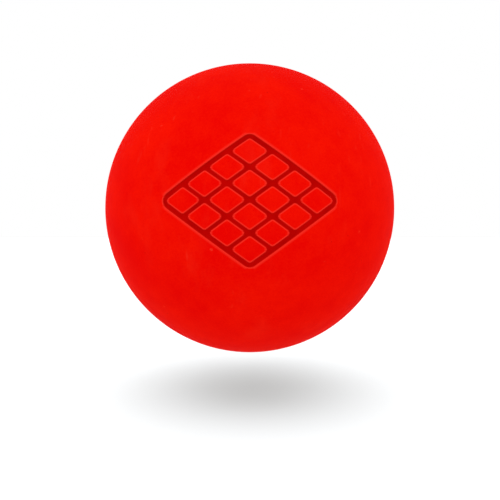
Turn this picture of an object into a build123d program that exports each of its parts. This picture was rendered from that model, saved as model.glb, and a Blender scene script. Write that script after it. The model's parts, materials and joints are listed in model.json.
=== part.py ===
"""A lacrosse ball: a moulded rubber core inside two coloured rubber half covers.

The covers are pressed over the core in a two-part mould that opens along Y, so they meet
on the plane Y = 0 and leave a low ridge there. The front cover faces -Y and carries a sunk
lattice mark at its pole. Millimetres, +Z up, origin at the centre of the ball.
"""

from build123d import *
from math import atan2, degrees, hypot, sqrt
import os

# Ball and its layers. The diameter is that of a circumference of 200, the middle of what the rules allow.
BALL_DIAMETER = 63.66
COVER_THICKNESS = 5.0

# Ridge that is left on the parting line once the flash is trimmed
SEAM_WIDTH = 1.4
SEAM_HEIGHT = 0.12

# Sunk lattice mark: a lozenge of lands, measured over its sharp corners before they are rounded
MARK_WIDTH = 33.0
MARK_HEIGHT = 24.0
LANDS_PER_SIDE = 4
OUTLINE_GROOVE_WIDTH = 0.8
LATTICE_GROOVE_WIDTH = 0.6
GROOVE_DEPTH = 0.5
GROOVE_EDGE_BEVEL = 0.15
OUTLINE_CORNER_RADIUS = 1.6
LAND_CORNER_RADIUS = 0.6

# Sizes that follow from the ones above
BALL_RADIUS = BALL_DIAMETER / 2
CORE_RADIUS = BALL_RADIUS - COVER_THICKNESS
GROOVE_FLOOR_RADIUS = BALL_RADIUS - GROOVE_DEPTH

# Differences below this come from rounding
ROUNDING = 1e-4

# Turn of the cover's profile about Y, which lays the closing edge of its round faces along a groove
PROFILE_TURN = degrees(atan2(MARK_HEIGHT, MARK_WIDTH))


def core():
    """The inner ball, which the covers are bonded to all over."""
    return Sphere(CORE_RADIUS)


def half_cover():
    """One half of the cover, still plain: a hemispherical shell on the -Y side of the parting plane."""
    crest_x = BALL_RADIUS + SEAM_HEIGHT
    foot_y = SEAM_WIDTH / 2
    foot_x = sqrt(BALL_RADIUS**2 - foot_y**2)
    # The ridge is a round crown, struck from a centre on the parting plane.
    crown_centre_x = (crest_x**2 - BALL_RADIUS**2) / (2 * (crest_x - foot_x))
    crown_radius = crest_x - crown_centre_x

    outer_pole = Vector(0, -BALL_RADIUS)
    ridge_foot = Vector(foot_x, -foot_y)
    ridge_crest = Vector(crest_x, 0)
    inner_rim = Vector(CORE_RADIUS, 0)
    inner_pole = Vector(0, -CORE_RADIUS)
    profile = Curve() + [
        RadiusArc(outer_pole, ridge_foot, -BALL_RADIUS),
        RadiusArc(ridge_foot, ridge_crest, -crown_radius),
        Line(ridge_crest, inner_rim),
        RadiusArc(inner_rim, inner_pole, CORE_RADIUS),
        Line(inner_pole, outer_pole),
    ]
    return Rot(Y=PROFILE_TURN) * revolve(make_face(profile), Axis.Y)


def lozenge(half_width, half_height, corner_radius):
    """A rhombus with rounded corners, its diagonals on the axes."""
    corners = [(half_width, 0), (0, half_height), (-half_width, 0), (0, -half_height)]
    outline = make_face(Polyline(*corners, close=True))
    return fillet(outline.vertices(), corner_radius)


def mark_grooves():
    """The grooves as a flat figure: a lozenge, less the lands that stand between the grooves."""
    half_width = MARK_WIDTH / 2
    half_height = MARK_HEIGHT / 2
    # Every rhombus here has the same angles, so its size is a share of the whole mark's.
    mark_across = 2 * half_width * half_height / hypot(half_width, half_height)
    lands_across = mark_across - 2 * OUTLINE_GROOVE_WIDTH
    pitch = (lands_across + LATTICE_GROOVE_WIDTH) / LANDS_PER_SIDE
    pitch_share = pitch / mark_across
    land_share = (pitch - LATTICE_GROOVE_WIDTH) / mark_across

    figure = lozenge(half_width, half_height, OUTLINE_CORNER_RADIUS)
    land = lozenge(half_width * land_share, half_height * land_share, LAND_CORNER_RADIUS)
    middle = (LANDS_PER_SIDE - 1) / 2
    for row in range(LANDS_PER_SIDE):
        for column in range(LANDS_PER_SIDE):
            rise = (row - middle) * pitch_share
            fall = (column - middle) * pitch_share
            figure -= Pos((rise + fall) * half_width, (rise - fall) * half_height) * land
    return figure


def front_cover():
    """The half cover on -Y, with the mark sunk to one depth below the ball's surface."""
    # The mould's ribs point along Y, so that the mould can open.
    mould_ribs = extrude(Plane.XZ * mark_grooves(), 2 * BALL_RADIUS) - Sphere(GROOVE_FLOOR_RADIUS)
    cover = half_cover() - mould_ribs
    walls = cover.faces().filter_by(lambda face: abs(face.normal_at().Y) < ROUNDING)
    upper_edges = walls.edges().filter_by(lambda edge: abs((edge @ 0.5).length - BALL_RADIUS) < ROUNDING)
    return chamfer(upper_edges, GROOVE_EDGE_BEVEL)


def rear_cover():
    """The plain half cover on +Y."""
    return Rot(Z=180) * half_cover()


os.makedirs("parts", exist_ok=True)
for make_piece in (core, front_cover, rear_cover):
    export_step(make_piece(), f"parts/{make_piece.__name__}.step")
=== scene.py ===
"""Rubber finish for a lacrosse ball: two moulded half covers, one with a sunk lattice mark, and a core.

The ball's centre is the origin, +Z is up, the mark faces -Y and the covers meet on the plane Y = 0.
Lengths are in metres.
"""

import json
from math import cos, pi, radians, sin, sqrt

import bpy
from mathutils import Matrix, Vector


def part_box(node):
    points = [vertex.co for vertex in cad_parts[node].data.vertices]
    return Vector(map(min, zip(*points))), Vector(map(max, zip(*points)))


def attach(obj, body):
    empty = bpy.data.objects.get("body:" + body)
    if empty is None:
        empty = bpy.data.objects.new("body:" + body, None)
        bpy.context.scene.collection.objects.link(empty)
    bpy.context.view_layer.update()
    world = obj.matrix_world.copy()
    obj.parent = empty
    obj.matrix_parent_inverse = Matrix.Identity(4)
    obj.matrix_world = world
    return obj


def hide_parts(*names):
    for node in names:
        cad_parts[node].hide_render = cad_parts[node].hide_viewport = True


bl_info = {
    "name": "Lacrosse Ball",
    "version": (1, 0, 0),
    "blender": (4, 5, 0),
    "location": "View3D > Sidebar > Lacrosse Ball",
    "description": "Makes a moulded rubber lacrosse ball and the stage that it is shown on",
    "category": "Add Mesh",
}

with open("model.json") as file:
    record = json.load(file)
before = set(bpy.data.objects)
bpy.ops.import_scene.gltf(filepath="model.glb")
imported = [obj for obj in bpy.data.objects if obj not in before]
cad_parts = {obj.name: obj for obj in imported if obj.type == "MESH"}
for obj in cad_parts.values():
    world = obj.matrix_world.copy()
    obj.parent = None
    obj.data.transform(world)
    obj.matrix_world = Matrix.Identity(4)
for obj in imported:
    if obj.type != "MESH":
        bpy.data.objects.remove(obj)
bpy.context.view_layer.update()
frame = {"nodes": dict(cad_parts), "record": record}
BODY = "root"
MM = 0.001

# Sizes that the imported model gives
SEAT = frame["record"]["mounts"][0]
BALL_RADIUS = SEAT["dims"]["r_mm"] * MM
CORE_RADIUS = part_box("core")[1].z
RIDGE_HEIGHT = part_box("rear_cover")[1].x - BALL_RADIUS


class Value:
    """An output socket of a node. Arithmetic on it adds Math nodes to the same tree."""

    def __init__(self, graph, socket):
        self.graph = graph
        self.socket = socket

    def math(self, operation, *others):
        inputs = dict(enumerate((self, *others)))
        return self.graph.add("ShaderNodeMath", {"operation": operation}, inputs)

    def reflected(self, operation, other):
        return self.graph.add("ShaderNodeMath", {"operation": operation}, {0: other, 1: self})

    def __add__(self, other):
        return self.math("ADD", other)

    def __radd__(self, other):
        return self.reflected("ADD", other)

    def __sub__(self, other):
        return self.math("SUBTRACT", other)

    def __rsub__(self, other):
        return self.reflected("SUBTRACT", other)

    def __mul__(self, other):
        return self.math("MULTIPLY", other)

    def __rmul__(self, other):
        return self.reflected("MULTIPLY", other)

    def __truediv__(self, other):
        return self.math("DIVIDE", other)

    def __rtruediv__(self, other):
        return self.reflected("DIVIDE", other)

    def __neg__(self):
        return self.math("MULTIPLY", -1)

    def __abs__(self):
        return self.math("ABSOLUTE")

    def __gt__(self, other):
        return self.math("GREATER_THAN", other)

    def __lt__(self, other):
        return self.math("LESS_THAN", other)

    def squared(self):
        return self * self

    def root(self):
        return self.math("SQRT")

    def ramp(self, start, end, low=0, high=1, smooth=False):
        """Runs from low at start to high at end, and stays level outside them."""
        settings = {"interpolation_type": "SMOOTHSTEP" if smooth else "LINEAR", "clamp": True}
        inputs = {"Value": self, "From Min": start, "From Max": end, "To Min": low, "To Max": high}
        return self.graph.add("ShaderNodeMapRange", settings, inputs)

    def hump(self, half_width):
        """A round hump, 1 where the value is 0 and down to 0 at half_width to either side."""
        return (1 - (self / half_width).squared()).math("MAXIMUM", 0)


class Graph:
    """Adds nodes to one node tree."""

    def __init__(self, tree):
        self.tree = tree

    def add(self, kind, settings=None, inputs=None, output=0):
        """A node of this type, with its settings made first and then its sockets.

        Gives the output that is asked for, or a list where several are.
        """
        node = self.tree.nodes.new(kind)
        for name, setting in (settings or {}).items():
            setattr(node, name, setting)
        for key, value in (inputs or {}).items():
            socket = self.find(node.inputs, key)
            if isinstance(value, Value):
                self.tree.links.new(value.socket, socket)
            else:
                socket.default_value = value
        if isinstance(output, tuple):
            return [Value(self, self.find(node.outputs, key)) for key in output]
        return Value(self, self.find(node.outputs, output)) if node.outputs else None

    @staticmethod
    def find(sockets, key):
        """A socket by its place, its identifier or its name."""
        if isinstance(key, int):
            return sockets[key]
        by_identifier = {socket.identifier: socket for socket in sockets}
        return by_identifier.get(key) or sockets[key]

    def vector(self, x=0, y=0, z=0):
        """A vector of three values."""
        return self.add("ShaderNodeCombineXYZ", inputs={"X": x, "Y": y, "Z": z})

    def split(self, vector):
        """The three values of a vector."""
        return self.add("ShaderNodeSeparateXYZ", inputs={0: vector}, output=(0, 1, 2))

    def store(self, geometry, name, value, selection=True, kind="FLOAT", domain="POINT"):
        """The geometry with a named value at each selected point, or in another domain."""
        settings = {"data_type": kind, "domain": domain}
        inputs = {"Geometry": geometry, "Selection": selection, "Name": name, "Value": value}
        return self.add("GeometryNodeStoreNamedAttribute", settings, inputs)

    def mix(self, factor, first, second):
        """A colour between two."""
        settings = {"data_type": "RGBA", "clamp_factor": True}
        inputs = {"Factor_Float": factor, "A_Color": first, "B_Color": second}
        return self.add("ShaderNodeMix", settings, inputs, "Result_Color")

    def noise(self, vector, scale=1, detail=2, roughness=0.5):
        """Soft noise from 0 to 1 with about scale features to each unit of the vector."""
        inputs = {"Vector": vector, "Scale": scale, "Detail": detail, "Roughness": roughness}
        return self.add("ShaderNodeTexNoise", {}, inputs, "Fac")

    def stretched(self, vector, scale, turn=0):
        """Coordinates with their own scale along each axis, turned about Y."""
        inputs = {"Vector": vector, "Rotation": (0, turn, 0), "Scale": scale}
        return self.add("ShaderNodeMapping", {"vector_type": "POINT"}, inputs)


def length(name, description, default):
    """A property that holds a length."""
    return bpy.props.FloatProperty(
        name=name,
        description=description,
        default=default,
        min=0,
        precision=5,
        subtype="DISTANCE",
        unit="LENGTH",
    )


def colour(name, description, default):
    """A property that holds a colour, in linear light."""
    return bpy.props.FloatVectorProperty(
        name=name, description=description, default=(*default, 1), size=4, min=0, max=1, subtype="COLOR"
    )


def count(name, description, default):
    """A property that holds a whole number."""
    return bpy.props.IntProperty(name=name, description=description, default=default, min=1)


def amount(name, description, default):
    """A property that holds a share, from 0 to 1."""
    return bpy.props.FloatProperty(
        name=name, description=description, default=default, min=0, max=1, precision=3, subtype="FACTOR"
    )


def strength(name, description, default):
    """A property that holds the strength of a light."""
    return bpy.props.FloatProperty(name=name, description=description, default=default, min=0)


def angle(name, description, default):
    """A property that holds an angle, given in degrees."""
    return bpy.props.FloatProperty(
        name=name, description=description, default=radians(default), subtype="ANGLE", unit="ROTATION"
    )


class BallSizes(bpy.types.PropertyGroup):
    """The ball's layers and the ridge where the covers meet."""

    ball_radius: length("Ball Radius", "Radius over the covers", BALL_RADIUS)
    core_radius: length("Core Radius", "Radius of the core and of the covers' hollow", CORE_RADIUS)
    ridge_height: length("Ridge Height", "Height of the trimmed ridge over the ball", RIDGE_HEIGHT)
    ridge_width: length("Ridge Width", "Width of the ridge, over both covers", 1.4 * MM)
    join_width: length("Join Width", "Width of the hairline where the covers meet", 0.2 * MM)
    join_depth: length("Join Depth", "Depth of that hairline in the ridge", 0.06 * MM)


class MarkSizes(bpy.types.PropertyGroup):
    """The sunk lattice mark on the front cover."""

    width: length("Mark Width", "Width over the sharp corners of the lozenge", 33.0 * MM)
    height: length("Mark Height", "Height over the sharp corners of the lozenge", 24.0 * MM)
    lands_per_side: count("Lands per Side", "Raised lands along one side of the lozenge", 4)
    outline_groove: length("Outline Groove", "Width of the groove round the lozenge", 0.8 * MM)
    lattice_groove: length("Lattice Groove", "Width of the grooves between the lands", 0.6 * MM)
    depth: length("Groove Depth", "Depth of the grooves below the ball", 0.5 * MM)
    outline_corner: length("Outline Corner", "Corner radius of the lozenge", 1.6 * MM)
    land_corner: length("Land Corner", "Corner radius of a land", 0.6 * MM)
    edge_round: length("Edge Round", "How far a groove's upper edge is rounded over the land", 0.15 * MM)
    floor_round: length("Floor Round", "How far the wall runs out on the groove's floor", 0.1 * MM)


class RubberColours(bpy.types.PropertyGroup):
    """Colours of the rubber, in linear light."""

    cover: colour("Cover", "Dyed rubber of the covers", (0.95, 0.0056, 0.0003))
    cover_dark: colour("Cover Dark", "Where the dye lies thicker", (0.865, 0.001, 0.0001))
    # Groove is painted shade for the floors of the grooves. The same dark red also colours the pores and
    # the hairline where the covers meet.
    groove: colour("Groove", "Floor of the grooves", (0.47, 0.0006, 0.0001))
    # Edge is a pale painted highlight along the edges of the lands.
    edge: colour("Edge", "Rubbed edges of the lands", (1.0, 0.034, 0.02))
    bloom: colour("Bloom", "Wax and chalk on the skin", (1.0, 0.045, 0.022))
    core: colour("Core", "Undyed rubber of the core", (0.32, 0.24, 0.16))
    core_dark: colour("Core Dark", "Dark flecks in the core", (0.12, 0.09, 0.07))


class RubberFinish(bpy.types.PropertyGroup):
    """How strongly wear, painted shade and a painted highlight show on the covers, and how their rubber
    takes the light.
    """

    bloom: amount("Bloom", "How far patches of wax hide the dye", 0.13)
    streaks: amount("Streaks", "How far streaks from handling hide the dye", 0.2)
    specks: amount("Specks", "How far pale specks hide the dye", 0.45)
    pores: amount("Pores", "How far dark pores hide the dye", 0.35)
    buffing: amount("Buffing", "How far marks of buffing hide the dye of the ridge", 0.45)
    join: amount("Join", "How dark the hairline is where the covers meet", 0.8)
    # Edges sets how strong the painted highlight along the edges of the lands is.
    edges: amount("Edges", "How far the edges of the lands are rubbed pale", 0.8)
    # How dark the painted shade on the floors of the grooves is, at the least.
    floors: amount("Floors", "How dark the floors of the grooves are, at the least", 0.78)
    roughness: amount("Roughness", "Roughness of the rubber without its patterns", 0.58)
    shine: amount("Shine", "Light that the rubber reflects as a mirror does", 0.006)
    relief_strength: amount("Relief Strength", "Strength of the fine relief", 0.35)
    relief_depth: length("Relief Depth", "Depth of the fine relief", 0.04 * MM)


class StageSettings(bpy.types.PropertyGroup):
    """Floor, lights and camera."""

    floor_drop: length("Floor Drop", "From the ball's centre down to the floor", 1.265 * BALL_RADIUS)
    floor_colour: colour("Floor Colour", "Paper of the floor", (0.66, 0.67, 0.68))
    camera_distance: length("Camera Distance", "From the camera to the ball's centre", 4 * BALL_RADIUS)
    camera_elevation: angle("Camera Elevation", "Height of the camera over the ball's centre", -2.5)
    sky: strength("Sky", "White light from all round", 0.985)
    dimming: strength("Dimming", "Share of the sky's light missing below the ball", 0.5)
    key: strength("Key", "Light from the soft lamp over the ball's left", 0.1)
    floor_lamps: strength("Floor Lamps", "Light from the lamps that throw the shadow", 3.4)


class BallSettings(bpy.types.PropertyGroup):
    """All that can be set for the ball and its stage."""

    sizes: bpy.props.PointerProperty(type=BallSizes)
    mark: bpy.props.PointerProperty(type=MarkSizes)
    colours: bpy.props.PointerProperty(type=RubberColours)
    finish: bpy.props.PointerProperty(type=RubberFinish)
    stage: bpy.props.PointerProperty(type=StageSettings)


# Inputs of the half cover's tree: each socket's name, which a size shares with it, and its type
COVER_INPUTS = {
    "Ball Radius": "NodeSocketFloat",
    "Core Radius": "NodeSocketFloat",
    "Ridge Height": "NodeSocketFloat",
    "Ridge Width": "NodeSocketFloat",
    "Join Width": "NodeSocketFloat",
    "Join Depth": "NodeSocketFloat",
    "Mark Width": "NodeSocketFloat",
    "Mark Height": "NodeSocketFloat",
    "Lands per Side": "NodeSocketInt",
    "Outline Groove": "NodeSocketFloat",
    "Lattice Groove": "NodeSocketFloat",
    "Groove Depth": "NodeSocketFloat",
    "Outline Corner": "NodeSocketFloat",
    "Land Corner": "NodeSocketFloat",
    "Edge Round": "NodeSocketFloat",
    "Floor Round": "NodeSocketFloat",
    "Lines per Land": "NodeSocketInt",
    "Turn": "NodeSocketFloat",
    "Material": "NodeSocketMaterial",
}

# Grid lines to a land, on the cover with the mark and on the plain one
FRONT_LINES = 40
REAR_LINES = 14
# Shares of a land's lines, counted out from the middle of a groove: to the end of the groove's floor,
# to the top of its wall and to the middle of the land
FLOOR_LINES = 0.06
WALL_LINES = 0.40
HALF_LAND = 0.5
# Half the distance between two lines
HALF_LINE = 0.5
# Rings of grid lines between the mark and the rim, and the share of them that lie short of the ridge
RIM_RINGS = 26
RINGS_BEFORE_RIDGE = 0.75
# Waves to the metre along the trimmed ridge, and the least share of its height that is left
RIDGE_WAVES = 140
LEAST_RIDGE = 0.6
# Rings of the hollow inside, which nothing shows
HOLLOW_RINGS = 14
MERGE_DISTANCE = 0.001 * MM
SHARP_ANGLE = radians(40)
# The flat map of the skin opens the shell out round its pole. Its middle, and how far out from there the
# ridge starts, the rim lies and the hollow ends, as shares of its width
MAP_NAME = "OFBake"
MAP_MIDDLE = 0.5
MAP_RIDGE = 0.43
MAP_RIM = 0.46
MAP_HOLLOW = 0.495


class Lattice:
    """The mark laid flat: a lozenge of raised lands, with grooves between and round them.

    Places on it are counted in lands along the lozenge's two slanting directions.
    """

    def __init__(self, given):
        self.lands = given["Lands per Side"]
        self.half_width = given["Mark Width"] / 2
        self.half_height = given["Mark Height"] / 2
        side = (self.half_width.squared() + self.half_height.squared()).root()
        self.half_across = self.half_width * self.half_height / side
        self.groove = given["Lattice Groove"]
        self.pitch = (2 * (self.half_across - given["Outline Groove"]) + self.groove) / self.lands
        self.floor_end = (self.groove / 2 - given["Floor Round"]) / self.pitch
        self.wall_end = (given["Outline Groove"] - self.groove / 2 + given["Edge Round"]) / self.pitch
        self.outline_corner = given["Outline Corner"]
        self.land_corner = given["Land Corner"]

    def gathered(self, steps):
        """The place of a grid line once the lines, evenly spaced at first, gather at the grooves."""
        nearest_groove = steps.math("ROUND")
        from_groove = steps - nearest_groove
        offset = abs(from_groove)
        moved = (
            offset.ramp(0, FLOOR_LINES, 0, self.floor_end)
            + offset.ramp(FLOOR_LINES, WALL_LINES, 0, self.wall_end - self.floor_end)
            + offset.ramp(WALL_LINES, HALF_LAND, 0, HALF_LAND - self.wall_end)
        )
        return nearest_groove + moved * from_groove.math("SIGN")

    def from_land(self, place):
        """How far a place lies from the middle of its land, or of the nearest one."""
        land = place.math("FLOOR").math("MAXIMUM", 0).math("MINIMUM", self.lands - 1)
        return place - (land + HALF_LAND)

    def point(self, u, v):
        """The flat point that lies u and v lands from the middle."""
        scale = self.pitch / (2 * self.half_across)
        return (u + v) * scale * self.half_width, (v - u) * scale * self.half_height

    def outside_lozenge(self, point, across, corner):
        """Distance of a point outside a rounded lozenge of the mark's form.

        The lozenge measures across from its centre to a side. Its corners come from adding corner all
        round a smaller one.
        """
        share = (across - corner) / self.half_across
        half_width, half_height = self.half_width * share, self.half_height * share
        x, z = (abs(part) for part in point)
        along = (half_width - 2 * x) * half_width - (half_height - 2 * z) * half_height
        along = along / (half_width.squared() + half_height.squared())
        along = along.math("MAXIMUM", -1).math("MINIMUM", 1)
        from_side_x = x - half_width * (1 - along) / 2
        from_side_z = z - half_height * (1 + along) / 2
        outside = (x * half_height + z * half_width - half_width * half_height).math("SIGN")
        return (from_side_x.squared() + from_side_z.squared()).root() * outside - corner

    def outside_groove(self, point, land_point):
        """Distance of a point outside the grooves.

        land_point is the same point, counted from the middle of its land.
        """
        outside_mark = self.outside_lozenge(point, self.half_across, self.outline_corner)
        land_across = (self.pitch - self.groove) / 2
        outside_land = self.outside_lozenge(land_point, land_across, self.land_corner)
        return outside_mark.math("MAXIMUM", -outside_land)


def outer_shell(graph, given):
    """The outside of a half cover, from the middle of the mark to the rim on the parting plane.

    A grid whose lines gather at the grooves is laid on the ball over the mark, and from there it spreads
    in rings to the ridge.
    """
    ball_radius = given["Ball Radius"]
    lands = given["Lands per Side"]
    lines = given["Lines per Land"]
    lattice = Lattice(given)

    # The flat grid has one unit between lines, so that a point's place counts lines from the middle.
    mark_lines = lines * (lands + 1) / 2
    reach = mark_lines + RIM_RINGS
    size, points = 2 * reach, 2 * reach + 1
    inputs = {"Size X": size, "Size Y": size, "Vertices X": points, "Vertices Y": points}
    grid = graph.add("GeometryNodeMeshGrid", inputs=inputs, output="Mesh")
    line_u, line_v, _ = graph.split(graph.add("GeometryNodeInputPosition"))
    ring_line = abs(line_u).math("MAXIMUM", abs(line_v))
    inside = mark_lines / ring_line.math("MAXIMUM", mark_lines)
    place_u = lattice.gathered(line_u * inside / lines + lands / 2)
    place_v = lattice.gathered(line_v * inside / lines + lands / 2)
    mark_x, mark_z = lattice.point(place_u - lands / 2, place_v - lands / 2)

    # The grooves have rounded edges and floors. A cover whose grooves have no depth is plain.
    land_u, land_v = lattice.from_land(place_u), lattice.from_land(place_v)
    outside_groove = lattice.outside_groove((mark_x, mark_z), lattice.point(land_u, land_v))
    edge_round = given["Edge Round"]
    sunk = outside_groove.ramp(edge_round, -given["Floor Round"], smooth=True)
    # A band along each groove's upper edge, where the rubber gets a pale painted highlight.
    edge = (outside_groove - edge_round).hump(edge_round)
    has_mark = given["Groove Depth"].math("SIGN")

    # Past the mark the rings spread over the ball to the parting plane, closer together on the ridge.
    mark_reach = (mark_x.squared() + mark_z.squared()).root()
    safe_reach = mark_reach.math("MAXIMUM", MERGE_DISTANCE)
    mark_angle = (mark_reach / ball_radius).math("ARCSINE")
    ridge_half = given["Ridge Width"] / 2
    ridge_angle = ridge_half / ball_radius
    ridge_start = pi / 2 - ridge_angle
    ring = (ring_line - mark_lines).math("MAXIMUM", 0) / RIM_RINGS
    short_of_ridge = mark_angle + (ridge_start - mark_angle) * ring.ramp(0, RINGS_BEFORE_RIDGE)
    on_ridge = 1 - ring.ramp(RINGS_BEFORE_RIDGE, 1, 1, 0).squared()
    ball_angle = short_of_ridge + ridge_angle * on_ridge
    map_reach = MAP_RIDGE * short_of_ridge / ridge_start + (MAP_RIM - MAP_RIDGE) * on_ridge

    # The trimmed ridge is a little uneven, and both covers have the same height at any place along it.
    rim_share = ball_radius / safe_reach
    rim_x = mark_x * rim_share * given["Turn"].math("COSINE")
    rim_place = graph.vector(x=rim_x, z=mark_z * rim_share)
    trimmed = graph.noise(rim_place, RIDGE_WAVES).ramp(start=0.3, end=0.7, low=LEAST_RIDGE)
    from_rim = ball_angle.math("COSINE") * ball_radius
    crown = from_rim.hump(ridge_half)
    join = from_rim.hump(given["Join Width"] / 2)
    proud = given["Ridge Height"] * crown * trimmed - given["Join Depth"] * join

    ring_radius = (ball_radius + proud) * ball_angle.math("SINE")
    on_mark = ring_line < mark_lines + HALF_LINE
    spread = on_mark + (1 - on_mark) * (ring_radius / safe_reach)
    ball_x, ball_z = mark_x * spread, mark_z * spread
    radius = ball_radius + proud - given["Groove Depth"] * sunk
    drop = (radius.squared() - ball_x.squared() - ball_z.squared()).math("MAXIMUM", 0).root()

    # At the side corners of a land the wall runs upright, and so do the diagonals of the squares there.
    beside_land = abs(land_u + land_v) > abs(land_u - land_v)
    for method, chosen in (("FIXED_ALTERNATE", beside_land), ("FIXED", 1 - beside_land)):
        inputs = {"Mesh": grid, "Selection": chosen}
        grid = graph.add("GeometryNodeTriangulate", {"quad_method": method}, inputs)
    # The sunk share, stored as groove, also places the painted shade on the groove floors, and edge
    # places the painted highlight.
    stored = {
        "groove": sunk * has_mark,
        "edge": edge * has_mark,
        "map_x": mark_x / safe_reach,
        "map_z": mark_z / safe_reach,
        "map_reach": map_reach,
    }
    for name, value in stored.items():
        grid = graph.store(grid, name, value)
    inputs = {"Geometry": grid, "Position": graph.vector(ball_x, -drop, ball_z)}
    return graph.add("GeometryNodeSetPosition", inputs=inputs)


def close_hollow(graph, shell, core_radius):
    """Runs the parting face in from the rim to the core, and closes the hollow over the core."""
    # An edge of the rim has only one face beside it.
    rim = graph.add("GeometryNodeInputMeshEdgeNeighbors") < 2
    for step in range(HOLLOW_RINGS + 1):
        inputs = {"Mesh": shell, "Selection": rim, "Offset Scale": 0}
        shell, rim = graph.add("GeometryNodeExtrudeMesh", {"mode": "EDGES"}, inputs, ("Mesh", "Top"))
        x, _, z = graph.split(graph.add("GeometryNodeInputPosition"))
        from_axis = (x.squared() + z.squared()).root()
        hollow_angle = pi / 2 * (1 - step / HOLLOW_RINGS)
        ring_share = core_radius * sin(hollow_angle) / from_axis
        place = graph.vector(x * ring_share, core_radius * -cos(hollow_angle), z * ring_share)
        inputs = {"Geometry": shell, "Selection": rim, "Position": place}
        shell = graph.add("GeometryNodeSetPosition", inputs=inputs)
        ring_reach = MAP_RIM + (MAP_HOLLOW - MAP_RIM) * (step + 1) / (HOLLOW_RINGS + 1)
        shell = graph.store(shell, "map_reach", ring_reach, selection=rim)
    return shell


def store_map(graph, shell):
    """Gives each corner of a face its place on the flat map."""
    names = ("map_x", "map_z", "map_reach")
    kind = {"data_type": "FLOAT"}
    x, z, reach = (graph.add("GeometryNodeInputNamedAttribute", kind, {"Name": name}) for name in names)
    place = graph.vector(MAP_MIDDLE + x * reach, MAP_MIDDLE + z * reach)
    shell = graph.store(shell, MAP_NAME, place, kind="FLOAT2", domain="CORNER")
    for name in names:
        shell = graph.add("GeometryNodeRemoveAttribute", inputs={"Geometry": shell, "Name": name})
    return shell


def shaded(graph, shell):
    """The shell with smooth faces, and a break only at a sharp bend."""
    inputs = {"Geometry": shell, "Shade Smooth": True}
    shell = graph.add("GeometryNodeSetShadeSmooth", {"domain": "FACE"}, inputs)
    bend = graph.add("GeometryNodeInputMeshEdgeAngle", output="Unsigned Angle")
    inputs = {"Geometry": shell, "Selection": bend > SHARP_ANGLE, "Shade Smooth": False}
    return graph.add("GeometryNodeSetShadeSmooth", {"domain": "EDGE"}, inputs)


def cover_tree():
    """A half cover as a closed shell."""
    tree = bpy.data.node_groups.new("Half cover", "GeometryNodeTree")
    for name, kind in COVER_INPUTS.items():
        tree.interface.new_socket(name, in_out="INPUT", socket_type=kind)
    tree.interface.new_socket("Geometry", in_out="OUTPUT", socket_type="NodeSocketGeometry")
    graph = Graph(tree)
    given = dict(zip(COVER_INPUTS, graph.add("NodeGroupInput", output=tuple(COVER_INPUTS))))

    shell = outer_shell(graph, given)
    shell = close_hollow(graph, shell, given["Core Radius"])
    # The map comes before the hollow's last ring closes to a point, so that all faces have width on it.
    shell = store_map(graph, shell)
    inputs = {"Geometry": shell, "Distance": MERGE_DISTANCE}
    shell = graph.add("GeometryNodeMergeByDistance", inputs=inputs)
    shell = shaded(graph, shell)
    inputs = {"Geometry": shell, "Rotation": graph.vector(z=given["Turn"])}
    shell = graph.add("GeometryNodeTransform", inputs=inputs)
    shell = graph.add("GeometryNodeRealizeInstances", inputs={"Geometry": shell})
    inputs = {"Geometry": shell, "Material": given["Material"]}
    shell = graph.add("GeometryNodeSetMaterial", inputs=inputs)
    graph.add("NodeGroupOutput", inputs={"Geometry": shell})
    return tree


def linked(name, data):
    """A new object in the scene."""
    made = bpy.data.objects.new(name, data)
    bpy.context.scene.collection.objects.link(made)
    return made


def half_cover(name, settings, depth, lines, turn):
    """A half cover made by its tree, as a plain mesh."""
    values = {}
    for group in (settings.sizes, settings.mark):
        for key in type(group).__annotations__:
            values[group.bl_rna.properties[key].name] = getattr(group, key)
    values["Groove Depth"] = depth
    values["Lines per Land"] = lines
    values["Turn"] = turn
    values["Material"] = cover_rubber(settings)

    tree = bpy.data.node_groups.get("Half cover") or cover_tree()
    piece = linked(name, bpy.data.meshes.new(name))
    modifier = piece.modifiers.new("Half cover", "NODES")
    modifier.node_group = tree
    for item in tree.interface.items_tree:
        if item.in_out == "INPUT":
            modifier[item.identifier] = values[item.name]
    evaluated = piece.evaluated_get(bpy.context.evaluated_depsgraph_get())
    mesh = bpy.data.meshes.new_from_object(evaluated)
    if not mesh.polygons:
        raise RuntimeError(f"{name} came out empty")
    piece.modifiers.remove(modifier)
    mesh.name = name
    piece.data = mesh
    # The dye throws no red light on the floor, whose shadow is grey.
    piece.visible_diffuse = False
    return piece


# Features to the metre of the covers' patterns, along X, Y and Z where a pattern runs one way, and the
# streaks' turn about Y
CLOUDS = 70
BLOTCHES = 330
GRAIN = 2600
BLOOM = (150, 110, 60)
STREAKS = (1500, 900, 130)
STREAK_TURN = 0.6
BUFFING = (500, 9000, 500)
# The same for the core
CORE_CLOUDS = 80
FLECKS = 1200
# How much each pattern adds to the dye, to the roughness and to the fine relief of the covers
DYE = {"clouds": 0.4, "blotches": 0.3, "grain": 0.3}
ROUGHNESS = {"clouds": 0.14, "grain": 0.1, "bloom": 0.1, "buffed": 0.12, "groove": -0.06}
RELIEF = {"grain": 0.5, "blotches": 0.3, "pores": -0.6, "buffing": 0.7}
# How much each pattern darkens the core, then the core's roughness, what clouds add to that, the
# strength and depth of the flecks' relief, and the core's shine
CORE_DARKNESS = {"clouds": 0.35, "flecks": 0.6}
CORE_ROUGHNESS = 0.7
CORE_CLOUD_ROUGHNESS = 0.2
FLECK_STRENGTH = 0.3
FLECK_DEPTH = 0.1 * MM
CORE_SHINE = 0.2


def blended(weights, patterns, base=0):
    """The sum of some patterns, each by its weight, on top of a base."""
    return sum((weight * patterns[name] for name, weight in weights.items()), base)


def new_material(name):
    """A material with an empty tree, and the graph that fills it."""
    material = bpy.data.materials.new(name)
    material.use_nodes = True
    material.node_tree.nodes.clear()
    return material, Graph(material.node_tree)


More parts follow.
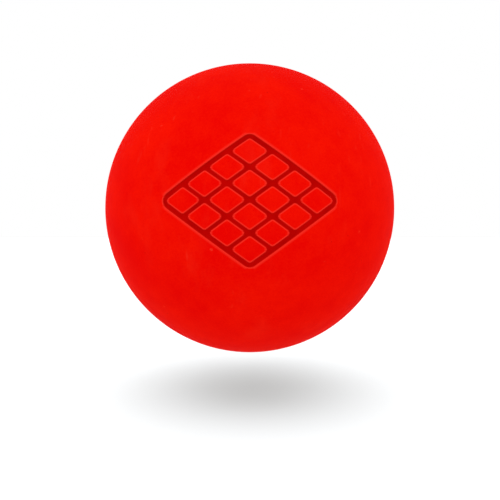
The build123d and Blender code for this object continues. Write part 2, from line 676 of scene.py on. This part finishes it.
def rubber_surface(graph, skin, roughness, shine, relief, relief_strength, relief_depth):
    """Ends a rubber's tree with its surface."""
    bump = {"Strength": relief_strength, "Distance": relief_depth, "Height": relief}
    inputs = {
        "Base Color": skin,
        "Roughness": roughness,
        "Specular IOR Level": shine,
        "Normal": graph.add("ShaderNodeBump", inputs=bump, output="Normal"),
    }
    surface = graph.add("ShaderNodeBsdfPrincipled", inputs=inputs)
    graph.add("ShaderNodeOutputMaterial", inputs={"Surface": surface})


def cover_rubber(settings):
    """Dyed rubber with clouds, bloom, streaks, specks and pores and a buffed ridge, with painted shade
    on the floors of the grooves and a painted highlight on the edges of the lands.
    """
    found = bpy.data.materials.get("Cover rubber")
    if found:
        return found
    colours, finish = settings.colours, settings.finish
    ridge_width, join_width = settings.sizes.ridge_width, settings.sizes.join_width
    material, graph = new_material("Cover rubber")
    place = graph.add("ShaderNodeTexCoord", output="Object")
    # The sunk share places painted shade in the grooves, and the edge band places a painted highlight.
    groove = graph.add("ShaderNodeAttribute", {"attribute_name": "groove"}, output="Fac")
    edge = graph.add("ShaderNodeAttribute", {"attribute_name": "edge"}, output="Fac")

    # The dye is never quite even: clouds of about 14 mm, blotches of 3 mm and a fine grain.
    clouds = graph.noise(place, CLOUDS)
    blotches = graph.noise(place, BLOTCHES, detail=3, roughness=0.6)
    grain = graph.noise(place, GRAIN)
    patterns = {"clouds": clouds, "blotches": blotches, "grain": grain, "groove": groove}
    dye = blended(DYE, patterns).ramp(start=0.38, end=0.62)
    skin = graph.mix(dye, colours.cover_dark, colours.cover)

    # Wax blooms in pale patches, and handling leaves faint streaks.
    wax = graph.noise(graph.stretched(place, BLOOM), detail=4, roughness=0.65)
    bloom = wax.ramp(start=0.56, end=0.78)
    handling = graph.noise(graph.stretched(place, STREAKS, STREAK_TURN), detail=1)
    streaks = handling.ramp(start=0.66, end=0.8) * clouds.ramp(start=0.45, end=0.6)
    skin = graph.mix(finish.bloom * bloom + finish.streaks * streaks, skin, colours.bloom)

    def dots(cells_per_metre, share, radius):
        """Ragged dots in a share of the cells of a grid, with a radius in cells."""
        inputs = {"Vector": place, "Scale": cells_per_metre}
        outputs = ("Distance", "Color")
        distance, cell = graph.add("ShaderNodeTexVoronoi", {"feature": "F1"}, inputs, outputs)
        pick = graph.add("ShaderNodeSeparateColor", inputs={0: cell}, output=0)
        ragged = distance * grain.ramp(start=0.35, end=0.65, low=0.6, high=1.6)
        return ragged.ramp(start=radius, end=radius / 2, smooth=True) * (pick < share)

    specks = dots(cells_per_metre=300, share=0.06, radius=0.1)
    pores = dots(cells_per_metre=620, share=0.1, radius=0.12)
    skin = graph.mix(finish.specks * specks, skin, colours.bloom)
    skin = graph.mix(finish.pores * pores, skin, colours.groove)

    # The ridge is buffed along its length where the flash was trimmed, and the hairline on it is dark.
    from_join = abs(graph.split(place)[1])
    buffed = from_join.ramp(start=0.75 * ridge_width, end=0.35 * ridge_width, smooth=True)
    marks = graph.noise(graph.stretched(place, BUFFING))
    rubbed = marks.ramp(start=0.4, end=0.65, low=finish.buffing / 3, high=finish.buffing)
    skin = graph.mix(buffed * rubbed, skin, colours.bloom)
    join = from_join.ramp(start=0.6 * join_width, end=0.2 * join_width, smooth=True)
    skin = graph.mix(finish.join * join, skin, colours.groove)

    # The edges of the lands get a pale painted highlight, and the floors of the grooves get painted
    # shade that blotches make uneven.
    skin = graph.mix(finish.edges * edge, skin, colours.edge)
    floors = groove * blotches.ramp(start=0.35, end=0.65, low=finish.floors)
    skin = graph.mix(floors, skin, colours.groove)

    patterns.update(bloom=bloom, pores=pores, buffed=buffed, buffing=buffed * marks)
    rubber_surface(
        graph,
        skin,
        roughness=blended(ROUGHNESS, patterns, finish.roughness),
        shine=finish.shine,
        relief=blended(RELIEF, patterns),
        relief_strength=finish.relief_strength,
        relief_depth=finish.relief_depth,
    )
    return material


def core_rubber(colours):
    """Undyed rubber: tan, with dark flecks of filler."""
    material, graph = new_material("Core rubber")
    place = graph.add("ShaderNodeTexCoord", output="Object")
    clouds = graph.noise(place, CORE_CLOUDS, detail=4)
    flecks = graph.noise(place, FLECKS).ramp(start=0.58, end=0.7)
    darkness = blended(CORE_DARKNESS, {"clouds": clouds, "flecks": flecks})
    rubber_surface(
        graph,
        graph.mix(darkness, colours.core, colours.core_dark),
        roughness=CORE_ROUGHNESS + CORE_CLOUD_ROUGHNESS * clouds,
        shine=CORE_SHINE,
        relief=flecks,
        relief_strength=FLECK_STRENGTH,
        relief_depth=FLECK_DEPTH,
    )
    return material


# The photograph's frame, in pixels, and the ball's outline in it
IMAGE_SIZE = 500
OUTLINE_CENTRE = (249.76, 207.76)
OUTLINE_RADIUS = 144.55
# The sky is white, and dimmer in a round patch below the ball: the direction of the patch's middle, and
# the angles from there at which the dimming ends and at which it is full
WHITE = (1, 1, 1, 1)
DIM_MIDDLE = Vector((0.05, -0.2, -0.98)).normalized()
DIM_END = radians(43)
DIM_FULL = radians(15)
# How wide every lamp looks, the directions that the lamps stand in, and the floor lamps' shares of light
LAMP_SPREAD = radians(90)
KEY_DIRECTION = Vector((-0.6, -0.5, 1.0))
FLOOR_LAMPS = {
    "Floor lamp in front": (Vector((-0.025, -0.7, 1.0)), 0.4),
    "Floor lamp behind": (Vector((-0.025, 0.3, 1.0)), 0.6),
}
# Half the width of the floor, and where the camera's view starts
FLOOR_REACH = 3.0
CLIP_START = 0.01


def seen_by_eye(graph):
    """1 for what is seen, also in a mirror or through glass, and 0 for what only lights the ball."""
    camera, glossy, transmitted = graph.add(
        "ShaderNodeLightPath", output=("Is Camera Ray", "Is Glossy Ray", "Is Transmission Ray")
    )
    return camera.math("MAXIMUM", glossy).math("MAXIMUM", transmitted)


def white_studio(stage):
    """A world that looks white, and lights the ball by a sky that is dimmer below it."""
    world = bpy.data.worlds.new("White studio")
    world.use_nodes = True
    world.node_tree.nodes.clear()
    graph = Graph(world.node_tree)
    direction = graph.add("ShaderNodeTexCoord", output="Generated")
    inputs = {0: direction, 1: DIM_MIDDLE}
    facing = graph.add("ShaderNodeVectorMath", {"operation": "DOT_PRODUCT"}, inputs, "Value")
    light = 1 - facing.ramp(cos(DIM_END), cos(DIM_FULL), 0, stage.dimming, smooth=True)
    sky = graph.add("ShaderNodeBackground", inputs={"Color": WHITE, "Strength": stage.sky * light})
    white = graph.add("ShaderNodeBackground", inputs={"Color": WHITE, "Strength": 1})
    backdrop = graph.add("ShaderNodeMixShader", inputs={0: seen_by_eye(graph), 1: sky, 2: white})
    graph.add("ShaderNodeOutputWorld", inputs={"Surface": backdrop})
    return world


def floor_paper(paper_colour):
    """White paper that keeps the ball's shadow, and lets a camera below it see the ball."""
    material, graph = new_material("Floor paper")
    paper = graph.add("ShaderNodeBsdfDiffuse", inputs={"Color": paper_colour})
    behind = graph.add("ShaderNodeNewGeometry", output="Backfacing")
    clear = graph.add("ShaderNodeBsdfTransparent")
    surface = graph.add("ShaderNodeMixShader", inputs={0: behind, 1: paper, 2: clear})
    graph.add("ShaderNodeOutputMaterial", inputs={"Surface": surface})
    return material


def floor_sheet(stage):
    """The floor of the white tent that the ball hangs in."""
    mesh = bpy.data.meshes.new("floor")
    corners = ((-1, -1), (1, -1), (1, 1), (-1, 1))
    places = [(x * FLOOR_REACH, y * FLOOR_REACH, -stage.floor_drop) for x, y in corners]
    mesh.from_pydata(places, [], [(0, 1, 2, 3)])
    mesh.materials.append(floor_paper(stage.floor_colour))
    floor = linked("floor", mesh)
    # It takes the ball's shadow and keeps no light from it.
    floor.visible_diffuse = False
    floor.visible_shadow = False
    return floor


def sun(name, energy, direction):
    """A soft sun that shines from a direction."""
    data = bpy.data.lights.new(name, "SUN")
    data.energy = energy
    data.angle = LAMP_SPREAD
    lamp = linked(name, data)
    lamp.rotation_euler = direction.to_track_quat("Z", "Y").to_euler()
    return lamp


def photo_camera(stage, ball_radius):
    """A camera that sees the ball's outline where the photograph has it."""
    data = bpy.data.cameras.new("Camera")
    distance, elevation = stage.camera_distance, stage.camera_elevation
    outline_slope = ball_radius / sqrt(distance**2 - ball_radius**2)
    half_frame_slope = outline_slope * IMAGE_SIZE / 2 / OUTLINE_RADIUS
    data.sensor_fit = "HORIZONTAL"
    data.lens = data.sensor_width / 2 / half_frame_slope
    data.shift_x = (IMAGE_SIZE / 2 - OUTLINE_CENTRE[0]) / IMAGE_SIZE
    data.shift_y = (OUTLINE_CENTRE[1] - IMAGE_SIZE / 2) / IMAGE_SIZE
    data.clip_start = CLIP_START
    camera = linked("Camera", data)
    towards_camera = Vector((0, -cos(elevation), sin(elevation)))
    camera.location = towards_camera * distance
    camera.rotation_euler = towards_camera.to_track_quat("Z", "Y").to_euler()
    return camera


class BALL_OT_front_cover(bpy.types.Operator):
    """Make the half cover that carries the sunk lattice mark"""

    bl_idname = "lacrosse_ball.front_cover"
    bl_label = "Front Cover"

    def execute(self, context):
        settings = context.scene.lacrosse_ball
        piece = half_cover("front_cover_moulding", settings, settings.mark.depth, FRONT_LINES, turn=0.0)
        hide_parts("front_cover")
        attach(piece, BODY)
        return {"FINISHED"}


class BALL_OT_rear_cover(bpy.types.Operator):
    """Make the plain half cover behind"""

    bl_idname = "lacrosse_ball.rear_cover"
    bl_label = "Rear Cover"

    def execute(self, context):
        settings = context.scene.lacrosse_ball
        piece = half_cover("rear_cover_moulding", settings, 0.0, REAR_LINES, turn=pi)
        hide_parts("rear_cover")
        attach(piece, BODY)
        return {"FINISHED"}


class BALL_OT_core(bpy.types.Operator):
    """Give the core its undyed rubber"""

    bl_idname = "lacrosse_ball.core"
    bl_label = "Core"

    def execute(self, context):
        core = frame["nodes"]["core"]
        core.data.materials.clear()
        core.data.materials.append(core_rubber(context.scene.lacrosse_ball.colours))
        return {"FINISHED"}


class BALL_OT_stage(bpy.types.Operator):
    """Set the floor, the lights and the camera"""

    bl_idname = "lacrosse_ball.stage"
    bl_label = "Stage"

    def execute(self, context):
        scene = context.scene
        settings = scene.lacrosse_ball
        stage = settings.stage
        scene.view_settings.view_transform = "Standard"
        scene.world = white_studio(stage)

        floor = floor_sheet(stage)

        sun("Key", stage.key, KEY_DIRECTION)
        floor_only = bpy.data.collections.new("Lit by the floor lamps")
        floor_only.objects.link(floor)
        for name, (direction, share) in FLOOR_LAMPS.items():
            floor_lamp = sun(name, stage.floor_lamps * share, direction)
            floor_lamp.light_linking.receiver_collection = floor_only

        scene.camera = photo_camera(stage, settings.sizes.ball_radius)
        return {"FINISHED"}


OPERATORS = (BALL_OT_front_cover, BALL_OT_rear_cover, BALL_OT_core, BALL_OT_stage)


class BALL_PT_panel(bpy.types.Panel):
    """Lists the ball's pieces and sizes"""

    bl_idname = "BALL_PT_panel"
    bl_label = "Lacrosse Ball"
    bl_space_type = "VIEW_3D"
    bl_region_type = "UI"
    bl_category = "Lacrosse Ball"

    def draw(self, context):
        settings = context.scene.lacrosse_ball
        for operator in OPERATORS:
            self.layout.operator(operator.bl_idname)
        for title, group in (
            ("Sizes", settings.sizes),
            ("Mark", settings.mark),
            ("Colours", settings.colours),
            ("Finish", settings.finish),
            ("Stage", settings.stage),
        ):
            box = self.layout.box()
            box.label(text=title)
            for name in type(group).__annotations__:
                box.prop(group, name)


GROUPS = (BallSizes, MarkSizes, RubberColours, RubberFinish, StageSettings, BallSettings)
CLASSES = (*GROUPS, *OPERATORS, BALL_PT_panel)


def register():
    for registered in CLASSES:
        bpy.utils.register_class(registered)
    bpy.types.Scene.lacrosse_ball = bpy.props.PointerProperty(type=BallSettings)


def unregister():
    del bpy.types.Scene.lacrosse_ball
    for registered in reversed(CLASSES):
        bpy.utils.unregister_class(registered)


def main():
    register()
    bpy.ops.lacrosse_ball.front_cover()
    bpy.ops.lacrosse_ball.rear_cover()
    bpy.ops.lacrosse_ball.core()
    bpy.ops.lacrosse_ball.stage()


if __name__ == "__main__":
    main()
